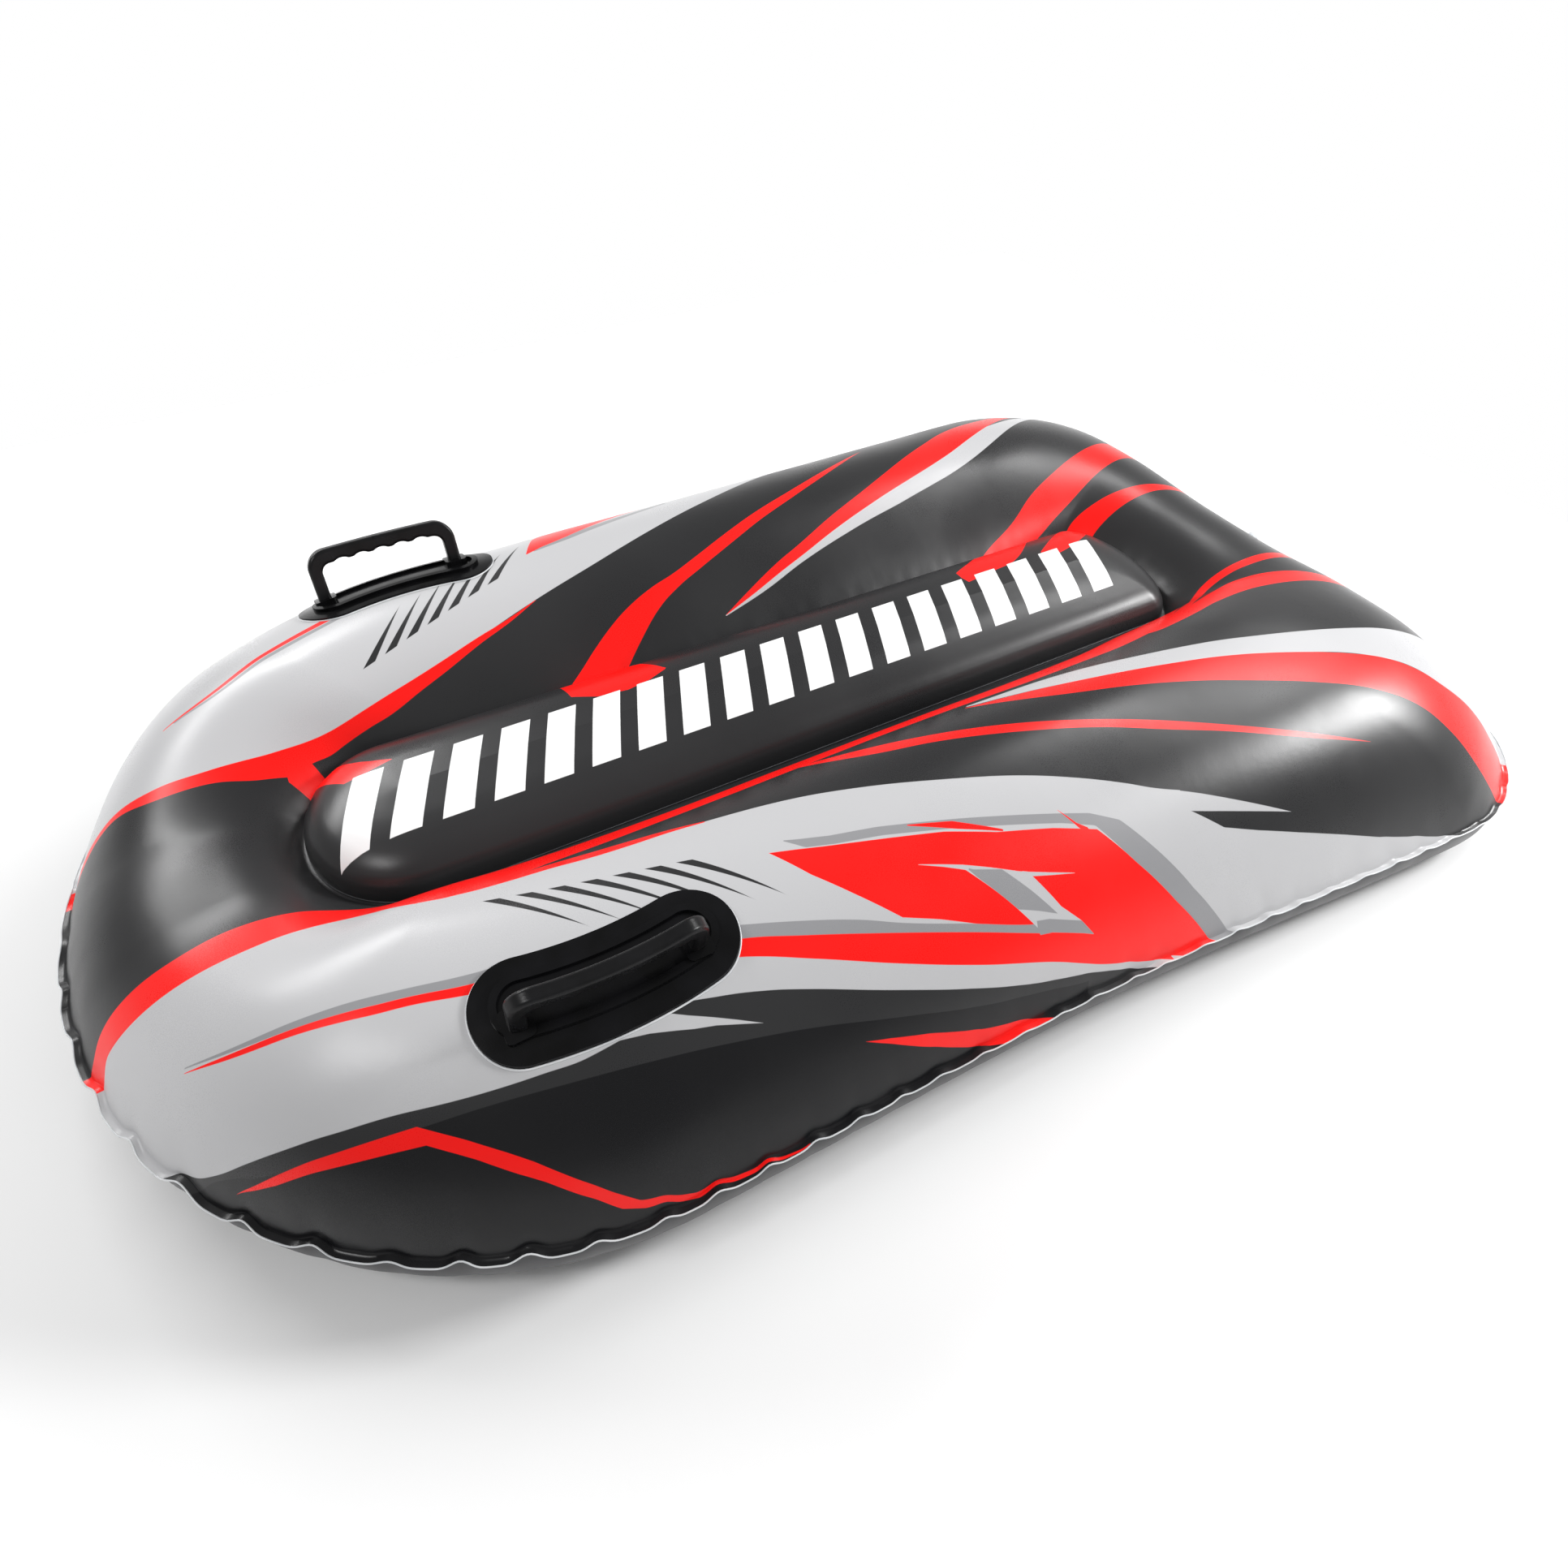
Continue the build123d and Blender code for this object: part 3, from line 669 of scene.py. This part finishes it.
class Print(Nodes):
    """Flat artwork on the top film, laid down colour by colour in millimetres on the unrolled film."""

    def __init__(self, name):
        super().__init__(name)
        x, y, _ = self.split(self.attribute("film"))
        self.x = self.math("MULTIPLY", x, 1000 / WIDE)
        self.other = self.math("MULTIPLY", x, -1000 / WIDE)
        self.y = self.math("MULTIPLY", y, 1000.0)
        self.colour = CHARCOAL

    def curve(self, at, values, smooth):
        """Float curve through the values. The short runs at both ends are always straight."""
        node = self.tree.nodes.new("ShaderNodeFloatCurve")
        line = node.mapping.curves[0]
        line.points[0].location = (at[0], values[0])
        line.points[1].location = (at[-1], values[-1])
        for t, v in zip(at[1:-1], values[1:-1]):
            line.points.new(t, v)
        last = len(line.points) - 2
        for k, point in enumerate(line.points):
            point.handle_type = "AUTO_CLAMPED" if smooth and 1 < k < last else "VECTOR"
        node.mapping.use_clip = False
        node.mapping.update()
        return node

    def region(self, colour, rows, side=1, smooth=True):
        """Fills between two lines that run along the board. rows: (y, nearer the middle, further out)."""
        first, last = rows[0], rows[-1]
        tip = [(SHARP_TIP if r[2] - r[1] < SHARP_TIP else BLUNT_TIP) for r in (first, last)]
        middle = [(r[1] + r[2]) / 2 for r in (first, last)]
        rows = (
            [(first[0] - tip[0], middle[0] + tip[0], middle[0] - tip[0])]
            + rows
            + [(last[0] + tip[1], middle[1] + tip[1], middle[1] - tip[1])]
        )
        start, end = rows[0][0], rows[-1][0]
        t = self.spread(self.y, start, end)
        at = [(r[0] - start) / (end - start) for r in rows]
        x = self.x if side > 0 else self.other
        edges = []
        for k in (1, 2):
            node = self.curve(at, [0.5 + 0.5 * r[k] / WIDE for r in rows], smooth)
            self.put(t, node.inputs["Value"])
            edges.append(self.math("MULTIPLY_ADD", node.outputs[0], 2.0, -1.0))
        inner = self.math("SUBTRACT", x, edges[0])
        outer = self.math("SUBTRACT", edges[1], x)
        depth = self.math("MINIMUM", inner, outer)
        self.paint(colour, self.spread(depth, -EDGE / WIDE, EDGE / WIDE))

    def paint(self, colour, mask):
        self.colour = self.mix(mask, self.colour, colour)

    def ticks(self, colour, start, step, run, count, side=1):
        """Row of tapered marks: start of the first, step to the next, and how far each one runs."""
        x = self.math("MULTIPLY", self.x if side > 0 else self.other, WIDE)
        dx = self.math("SUBTRACT", x, float(start[0]))
        dy = self.math("SUBTRACT", self.y, float(start[1]))
        area = step[0] * run[1] - step[1] * run[0]
        length = math.hypot(*run)
        index = self.math(
            "MULTIPLY_ADD", dx, run[1] / area, self.math("MULTIPLY", dy, -run[0] / area)
        )
        reach = self.math(
            "MULTIPLY_ADD", dx, -step[1] / area, self.math("MULTIPLY", dy, step[0] / area)
        )
        middle = self.math("MULTIPLY", reach, self.math("SUBTRACT", 1.0, reach))
        bend = self.math("MULTIPLY", middle, TICK_BEND)
        index = self.math("SUBTRACT", index, bend)
        nearest = self.math("ROUND", index)
        off = self.math("ABSOLUTE", self.math("SUBTRACT", index, nearest))
        gap = abs(area) / length
        width = self.math("MULTIPLY_ADD", reach, -TICK_TAPER / gap, TICK_WIDTH / gap)
        inside = self.math("SUBTRACT", width, off)
        mask = self.spread(inside, -0.2 / gap, 0.2 / gap)
        for limit in (
            self.spread(reach, -0.004, 0.004),
            self.spread(index, -0.5, -0.49),
            self.spread(index, count - 0.5, count - 0.51),
        ):
            mask = self.math("MULTIPLY", mask, limit)
        self.paint(colour, mask)

    def bars(self, colour, low, high, pitch, share, slant, middle, half):
        """Row of plain slanted bars across the pad, each filling a share of the pitch."""
        x = self.math("MULTIPLY_ADD", self.x, WIDE, -float(middle))
        along = self.math("MULTIPLY_ADD", x, slant, self.y)
        place = self.math("MULTIPLY", self.math("SUBTRACT", along, float(low)), 1 / pitch)
        part = self.math("SUBTRACT", place, self.math("FLOOR", place))
        mask = self.math(
            "MULTIPLY", self.spread(part, 0.0, 0.01), self.spread(part, share, share - 0.01)
        )
        across = self.math("SUBTRACT", float(half), self.math("ABSOLUTE", x))
        for limit in (
            self.spread(across, -0.3, 0.3),
            self.spread(along, low - 0.3, low + 0.3),
            self.spread(along, high + 0.3, high - 0.3),
        ):
            mask = self.math("MULTIPLY", mask, limit)
        self.paint(colour, mask)


def printed_film():
    """Satin PVC film with the board's artwork: silver nose sides, black field, red flashes."""
    art = Print("printed_film")
    cloud = art.spread(art.noise(2.2, 2.0), 0.3, 0.75)
    art.colour = art.mix(cloud, *FIELD)
    near_side(art)
    far_side(art)
    tail_lines(art)
    art.bars(WHITE, low=-384, high=352, pitch=39, share=0.62, slant=0.42, middle=9, half=37)
    return art


def near_side(art):
    """The +X side, counted out from the middle."""
    # silver nose side, from the red line out to the painted shade of the flank
    art.region(
        SILVER,
        [(-660, 92, 150), (-610, 98, 205), (-567, 92, 236), (-516, 88, 256), (-476, 88, 268),
         (-435, 92, 278), (-396, 122, 289), (-370, 139, 295), (-342, 146, 300), (-312, 150, 304),
         (-283, 152, 303), (-253, 158, 300), (-223, 163, 306), (-191, 168, 316), (-171, 172, 324),
         (-109, 186, 352), (-49, 207, 377), (8, 230, 397), (64, 252, 411), (107, 272, 424),
         (140, 289, 438), (160, 300, 470), (183, 310, 500)],
    )
    # silver point at the front of the dark notch
    art.region(
        SILVER,
        [(174, 306.5, 326), (182, 310, 326), (197, 317, 331), (276, 356, 356)],
        smooth=False,
    )
    # silver tail flank, down to the seam
    art.region(
        SILVER,
        [(170, 321, 500), (180, 324, 500), (208, 347, 500), (240, 359, 500), (281, 373, 500),
         (373, 403, 500), (464, 427, 500), (520, 446, 500)],
        smooth=False,
    )
    # painted shade along the near flank: a black darker than the charcoal field, for the side that faces
    # away from the lamps
    art.region(
        FLANK_SHADE_BLACK,
        [(-640, 233, 500), (-573, 239, 500), (-525, 266, 500), (-472, 282, 500), (-420, 293, 500),
         (-380, 301, 500), (-331, 312, 500), (-281, 323, 500), (-229, 335, 500), (-174, 350, 500),
         (-109, 372, 500), (-40, 394, 500), (20, 408, 500), (64, 418, 500)],
    )
    # silver spike behind the handle
    art.region(
        SILVER,
        [(-310, 285, 300), (-294, 290, 303), (-273, 296, 308), (-257, 302, 313.5), (-246, 308.5, 317.5),
         (-232, 316, 321.5), (-218, 324, 327), (-203, 333, 333)],
        smooth=False,
    )
    # red line beside the pad
    art.region(
        RED,
        [(-660, 90, 112), (-612, 87, 109), (-590, 80, 100), (-552, 75, 99), (-515, 74, 100),
         (-480, 72, 103), (-440, 74, 107), (-415, 84, 116), (-395, 96, 128), (-370, 112, 143),
         (-345, 116, 148), (-305, 116, 147), (-279, 117, 144), (-235, 119, 143), (-163, 124, 143),
         (-69, 126, 144), (50, 126, 143), (148, 124, 143), (238, 112, 138), (290, 100, 134),
         (330, 92, 128), (360, 88, 108), (385, 90, 92)],
    )
    # short red branch off it
    art.region(
        RED,
        [(-376, 136, 141), (-342, 142, 149), (-312, 145, 152), (-280, 147, 155), (-250, 152, 161),
         (-220, 158, 165.5), (-189, 165.5, 169.5), (-166, 172.5, 174)],
    )
    # long red dart towards the tail
    art.region(
        RED,
        [(-75, 138, 140), (-20, 157, 171), (35, 177, 190), (95, 201, 213), (155, 228, 238),
         (200, 250, 260), (245, 272, 279), (310, 302, 307), (377, 332, 332)],
    )
    # silver sweep to the tail corner
    art.region(
        SILVER,
        [(92, 149, 151), (160, 150, 168), (205, 156, 181), (255, 169, 195), (311, 186, 214),
         (366, 207, 236), (433, 228, 264), (480, 238, 290), (520, 246, 330), (560, 252, 390),
         (600, 256, 440), (640, 256, 470)],
    )
    # red flash inside the sweep
    art.region(
        RED,
        [(89, 152, 153), (154, 167, 185), (217, 184, 209), (268, 199, 230), (305, 211, 247),
         (357, 232, 270), (413, 256, 297), (448, 271, 320), (476, 288, 349), (502, 308, 379),
         (535, 332, 412), (565, 362, 440), (600, 396, 480)],
    )
    # grey shadow of the nose pinstripe
    art.region(
        GREY,
        [(-536, 165, 166), (-504, 180, 183), (-468, 193, 198), (-430, 205, 211), (-395, 214, 220),
         (-359, 223, 230), (-330, 228, 235)],
    )
    # red nose pinstripe
    art.region(
        RED,
        [(-538, 168, 168.5), (-504, 184, 188), (-468, 198, 203), (-430, 211, 217), (-395, 220, 226),
         (-359, 230, 237), (-330, 235, 243)],
    )
    # red chevron low on the nose
    art.region(
        RED,
        [(-559, 260, 260), (-524, 268, 274), (-482, 278, 286), (-423, 291, 303), (-400, 312, 325),
         (-382, 330, 345), (-370, 343, 357), (-338, 383, 397), (-325, 398, 405), (-291, 414, 419),
         (-250, 421, 424), (-205, 427.5, 428.5)],
        smooth=False,
    )
    # red dart at the seam
    art.region(
        RED,
        [(-140, 376, 376), (-92, 393, 404), (-45, 412, 428), (0, 424, 442), (20, 432, 447),
         (45, 446, 470)],
        smooth=False,
    )
    arrow(art)
    art.ticks(CHARCOAL, (169, -328), (6.3, 21.6), (58, 50), 7)


def arrow(art):
    """Red arrow with its grey outline, and the red band that runs from it to the handle."""
    # grey outline along the top and the rear
    art.region(
        GREY,
        [(-128, 225, 226), (-117, 229.5, 238), (-96, 237, 245), (-61, 246, 254), (-3, 265, 273),
         (71, 290, 298), (97, 299, 309), (119, 312, 345), (138, 338, 372), (169, 380, 406),
         (209, 425, 445), (225, 445, 470)],
        smooth=False,
    )
    # red body
    art.region(
        RED,
        [(-143, 230, 230), (-125, 236, 259), (-105, 243, 283), (-80, 251, 312), (-54, 259, 324),
         (-18, 270, 343), (20, 286, 362), (63, 299, 384), (97, 312, 409), (120, 345, 418),
         (151, 384, 428), (195, 432, 450)],
        smooth=False,
    )
    # grey line between the body and the band
    art.region(
        GREY,
        [(-200, 266, 285), (-146, 286, 300), (-110, 301, 314), (-80, 316, 330), (-32, 336, 347),
         (10, 353, 360), (26, 358, 365)],
    )
    # red band from the handle to the seam
    art.region(
        RED,
        [(-215, 274, 284), (-192, 279, 292), (-150, 295, 312), (-95, 317, 339), (-35, 341, 365),
         (33, 368, 390), (70, 381, 406), (100, 390, 416), (130, 402, 425), (150, 412, 432)],
    )
    # silver notch in the body
    art.region(
        SILVER,
        [(-50, 284, 284.3), (-33, 291, 293), (-19, 297, 301), (1, 307, 330), (20, 317, 360),
         (27, 320, 365), (44, 352, 371.5), (59, 368, 377.5), (68, 381, 381.4)],
        smooth=False,
    )
    # silver sliver above the notch
    art.region(
        SILVER,
        [(23, 318, 323), (27, 320, 323.5), (45, 327, 329), (64, 334, 334.3)],
        smooth=False,
    )
    # grey inside the notch
    art.region(
        GREY,
        [(-16, 301, 303), (-13, 303, 309), (8, 311, 341), (24, 333, 348), (39, 355, 355.5)],
        smooth=False,
    )
    # grey under the notch
    art.region(
        GREY,
        [(20, 354, 364.5), (31, 356.5, 366.5), (59, 368, 377.5), (68, 381, 381.3)],
        smooth=False,
    )
    # red tip over the notch
    art.region(RED, [(74, 288, 288.5), (83, 302, 306), (90, 308, 314)], smooth=False)
    # red dash over the outline
    art.region(RED, [(-40, 254, 255), (-8, 265, 272), (24, 285, 287)], smooth=False)


def far_side(art):
    """The -X side. Distances are still counted out from the middle."""
    # silver side, out from the dark middle
    art.region(
        SILVER,
        [(-660, 104, 500), (-583, 108, 500), (-555, 107, 500), (-509, 100, 500), (-458, 96, 500),
         (-430, 97, 500), (-398, 102, 500), (-360, 113, 500), (-314, 129, 500), (-262, 147, 500),
         (-219, 164, 500), (-176, 180, 500), (-99, 206, 500), (-14, 237, 500), (55, 263, 500),
         (130, 296, 500), (230, 354, 500), (300, 420, 500)],
        side=-1,
    )
    # red line between the two, from the nose
    art.region(
        RED,
        [(-660, 88, 108), (-590, 98, 108), (-555, 103, 109), (-509, 90, 102), (-469, 84, 97),
         (-435, 78, 98), (-415, 78, 101), (-399, 87, 104), (-383, 92, 108), (-370, 98, 112),
         (-350, 105, 119), (-330, 111, 126), (-300, 124, 136), (-274, 135, 145), (-239, 151, 157.5),
         (-205, 165, 168.5), (-176, 179.5, 180)],
        side=-1,
    )
    # red hook beside the pad's nose end
    art.region(
        RED,
        [(-418, 74, 96), (-405, 60, 96), (-393, 44, 80), (-376, 26, 59), (-364, 27, 49), (-352, 30, 41),
         (-337, 34, 34.4)],
        side=-1,
        smooth=False,
    )
    # grey shadow of the pinstripe
    art.region(
        GREY,
        [(-490, 164, 167), (-458, 170, 173), (-406, 196, 201), (-337, 225, 230), (-266, 256, 261)],
        side=-1,
    )
    # red pinstripe
    art.region(
        RED,
        [(-500, 164, 165), (-458, 174, 178), (-406, 202, 208), (-337, 231, 238), (-266, 262, 266)],
        side=-1,
    )
    art.ticks(CHARCOAL, (156, -335), (10, 22), (62, 47), 7, side=-1)
    # grey outline of the red panel
    art.region(
        GREY,
        [(-150, 250, 256), (-111, 257, 268), (-51, 274, 285), (9, 291, 298)],
        side=-1,
        smooth=False,
    )
    # red panel
    art.region(
        RED,
        [(-158, 248, 250), (-140, 256, 290), (-120, 262, 312), (-111, 265, 340), (-62, 286, 360),
         (-30, 300, 372), (30, 325, 330)],
        side=-1,
        smooth=False,
    )
    # red flash from the pad out to the side
    art.region(
        RED,
        [(-186, 70, 84), (-160, 66, 104), (-144, 66, 117), (-120, 92, 134), (-99, 113, 146),
         (-70, 137, 158), (-42, 152, 166), (-14, 163, 176), (30, 180, 193), (72, 197, 209),
         (130, 219, 229), (190, 246, 253), (245, 277, 277)],
        side=-1,
    )
    # root of that flash on the pad
    art.region(
        RED,
        [(-188, 40, 84), (-169, 29, 84), (-143, 25, 84), (-122, 29, 72), (-104, 37, 40)],
        side=-1,
        smooth=False,
    )
    # silver spike
    art.region(
        SILVER,
        [(-11, 111, 112), (38, 122.5, 130), (90, 138, 147), (159, 154, 170), (179, 158, 176),
         (233, 168, 195), (339, 195, 232), (464, 255, 270), (560, 298, 303)],
        side=-1,
    )
    # red dart on the spike
    art.region(
        RED,
        [(-10, 112, 112.4), (26, 123, 129), (64, 135.5, 145), (95, 145, 156), (138, 159, 173),
         (206, 179, 199), (308, 209, 246), (347, 225, 264), (419, 260, 282), (500, 300, 310)],
        side=-1,
    )
    # wide red flash to the tail
    art.region(
        RED,
        [(204, 20, 40), (240, 25, 60), (267, 30, 82), (335, 80, 109), (368, 92, 125), (414, 105, 141),
         (470, 124, 160), (520, 140, 178), (560, 150, 190), (640, 170, 215)],
        side=-1,
    )
    # narrow red line to the tail
    art.region(
        RED,
        [(300, 16, 30), (348, 29, 60), (397, 58, 86), (432, 66, 89), (482, 68, 84), (526, 66, 76),
         (580, 64, 70)],
        side=-1,
    )


def tail_lines(art):
    """Two red lines that fan out from the pad's near tail corner."""
    # outer line
    art.region(
        RED,
        [(298, 127, 131), (322, 127, 136), (345, 116, 127), (369, 104, 115), (381, 98, 109),
         (419, 82, 92), (450, 80, 90), (478, 81, 92), (517, 82, 93), (545, 83, 92), (600, 84, 92)],
    )
    # inner line
    art.region(
        RED,
        [(298, 127, 131), (320, 127, 137), (345, 123, 136), (363, 116, 134), (392, 106, 130),
         (427, 102, 132), (453, 108, 138), (489, 121, 147), (529, 136, 156), (590, 150, 164)],
    )


def film_material(nodes, roughness=0.3, grain=0.06):
    """Satin PVC over a colour: fine grain, faint handling marks and a soft sheen."""
    fine = nodes.noise(1500, 2.0, 0.6)
    soft = nodes.noise(55, 4.0, 0.6)
    marks = nodes.noise(9, 3.0, 0.5)
    wear = nodes.math("MULTIPLY_ADD", fine, 0.35, nodes.math("MULTIPLY", marks, 0.65))
    rough = nodes.spread(wear, 0.3, 0.7, roughness - 0.07, roughness + 0.09)
    normal = nodes.bump(fine, grain, 0.0004)
    normal = nodes.bump(soft, 0.05, 0.002, normal)
    return nodes.finish(Base_Color=nodes.colour, Roughness=rough, Normal=normal, Specular_IOR_Level=0.34)


def plain(name, colour, other, roughness, grain, shine=0.5):
    """Moulded or plain sheet plastic with mottled colour."""
    nodes = Nodes(name)
    mottle = nodes.spread(nodes.noise(38, 4.0), 0.3, 0.7)
    base = nodes.mix(mottle, colour, other)
    fine = nodes.noise(900, 2.0)
    rough = nodes.spread(nodes.noise(26, 3.0), 0.3, 0.7, roughness - 0.06, roughness + 0.08)
    normal = nodes.bump(fine, grain, 0.0005)
    return nodes.finish(Base_Color=base, Roughness=rough, Normal=normal, Specular_IOR_Level=shine)


print_material = film_material(printed_film())
edge_white = plain("weld_edge", (0.74, 0.75, 0.76, 1), (0.56, 0.58, 0.6, 1), 0.3, 0.05)
weld_grey = plain("pad_weld_edge", (0.16, 0.16, 0.17, 1), (0.1, 0.1, 0.11, 1), 0.3, 0.05)
under_material = plain("bottom_film", (0.06, 0.06, 0.064, 1), (0.045, 0.045, 0.048, 1), 0.36, 0.06)
patch_material = plain(
    "handle_patch", (0.003, 0.003, 0.003, 1), (0.006, 0.006, 0.007, 1), 0.2, 0.05, shine=0.16
)
grip_material = plain(
    "handle_grip", (0.004, 0.004, 0.004, 1), (0.009, 0.009, 0.01, 1), 0.28, 0.1, shine=0.22
)
valve_film = plain("valve_film", (0.62, 0.64, 0.66, 1), (0.52, 0.54, 0.56, 1), 0.35, 0.05)
valve_soft = plain("valve_soft", (0.72, 0.74, 0.76, 1), (0.6, 0.62, 0.64, 1), 0.3, 0.05)

for name, side in (("printed_film_left", 1), ("printed_film_right", -1)):
    skin = top_film(name, side, print_material)
    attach(skin, "board")
    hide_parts("top_sheet")

under = bottom_film("bottom_film", under_material)
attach(under, "board")
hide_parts("bottom_sheet")

left_film, right_film = (bpy.data.objects[name] for name in ("printed_film_left", "printed_film_right"))
beads = [
    bead("rim_cut_edge", rim_edge_path(), 0.6, edge_white),
    bead("pad_weld_edge", pad_edge_path(), 0.45, weld_grey),
    bead("left_patch_edge", patch_edge_path(1, left_film), 0.7, edge_white),
    bead("right_patch_edge", patch_edge_path(-1, right_film), 0.7, edge_white),
]
for piece in beads:
    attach(piece, "board")

CAD_LOOKS = {
    "left_handle_base": patch_material,
    "right_handle_base": patch_material,
    "left_handle_grip": grip_material,
    "right_handle_grip": grip_material,
    "main_valve_flange": valve_film,
    "pad_valve_flange": valve_film,
}
for name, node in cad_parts.items():
    if name in ("top_sheet", "bottom_sheet"):
        continue
    material = CAD_LOOKS.get(name, valve_soft)
    node.data.materials.clear()
    node.data.materials.append(material)


# ---------------------------------------------------------------- camera, floor and lights
TURN, TILT, ROLL = math.radians(60.05), math.radians(44.24), math.radians(0.51)
TARGET, DISTANCE = Vector((0.0623, -0.0433, 0.060)), 0.9248
SENSOR, LENS = 36.0, 24.43
FLOOR_HALF, FLOOR_DROP = 1.1, 0.0005
HORIZON_HEIGHT, HORIZON_STRENGTH, ZENITH_STRENGTH = 0.22, 1.0, 0.36


def make_camera():
    """Camera placed by turn, tilt and roll about its target, as fitted to the outline."""
    back = Vector((math.sin(TURN) * math.cos(TILT), -math.cos(TURN) * math.cos(TILT), math.sin(TILT)))
    right = Vector((math.cos(TURN), math.sin(TURN), 0))
    up = back.cross(right)
    side = math.cos(ROLL) * right + math.sin(ROLL) * up
    top = -math.sin(ROLL) * right + math.cos(ROLL) * up
    data = bpy.data.cameras.new("camera")
    data.sensor_width, data.lens = SENSOR, LENS
    data.clip_start = 0.01
    camera = bpy.data.objects.new("camera", data)
    scene.collection.objects.link(camera)
    camera.matrix_world = Matrix(
        [[side[k], top[k], back[k], (TARGET + back * DISTANCE)[k]] for k in range(3)] + [[0, 0, 0, 1]]
    )
    scene.camera = camera


def make_floor():
    """Pale matt floor."""
    nodes = Nodes("studio_floor")
    tone = nodes.spread(nodes.noise(3, 2.0), 0.2, 0.8)
    material = nodes.finish(
        Base_Color=nodes.mix(tone, (0.86, 0.86, 0.86, 1), (0.9, 0.9, 0.9, 1)), Roughness=0.9
    )
    corners = ((-1, -1), (1, -1), (1, 1), (-1, 1))
    mesh = bpy.data.meshes.new("studio_floor")
    mesh.from_pydata([(x * FLOOR_HALF, y * FLOOR_HALF, -FLOOR_DROP) for x, y in corners], [], [(0, 1, 2, 3)])
    add_object("studio_floor", mesh, material)


def area_light(name, place, target, size, power):
    """Soft rectangular lamp that faces its target."""
    data = bpy.data.lights.new(name, "AREA")
    data.shape = "RECTANGLE"
    data.size, data.size_y = size
    data.energy = power
    light = bpy.data.objects.new(name, data)
    scene.collection.objects.link(light)
    light.location = place
    light.rotation_euler = (Vector(target) - Vector(place)).to_track_quat("-Z", "Y").to_euler()


def make_world():
    """White surroundings, brightest near the horizon."""
    world = bpy.data.worlds.new("studio")
    scene.world = world
    world.use_nodes = True
    tree = world.node_tree
    sky = tree.nodes["Background"]
    sky.inputs["Color"].default_value = (1, 1, 1, 1)
    place = tree.nodes.new("ShaderNodeTexCoord")
    split = tree.nodes.new("ShaderNodeSeparateXYZ")
    fade = tree.nodes.new("ShaderNodeMapRange")
    fade.inputs["From Max"].default_value = HORIZON_HEIGHT
    fade.inputs["To Min"].default_value = HORIZON_STRENGTH
    fade.inputs["To Max"].default_value = ZENITH_STRENGTH
    tree.links.new(place.outputs["Generated"], split.inputs[0])
    tree.links.new(split.outputs["Z"], fade.inputs[0])
    tree.links.new(fade.outputs[0], sky.inputs["Strength"])


make_camera()
make_floor()
make_world()
area_light("nose_side", (-1.5, -0.8, 1.25), (0, -0.2, 0.12), (1.3, 0.25), 22)
area_light("tail_side", (-0.35, 1.6, 1.5), (0, 0.1, 0.12), (1.4, 0.35), 18)
area_light("tail_corner", (0.75, 1.75, 1.1), (0.1, 0.3, 0.12), (0.5, 0.4), 38)
area_light("nose_end", (0.35, -1.35, 1.7), (0, -0.3, 0.12), (0.55, 0.4), 11)
scene.view_settings.view_transform = "Standard"
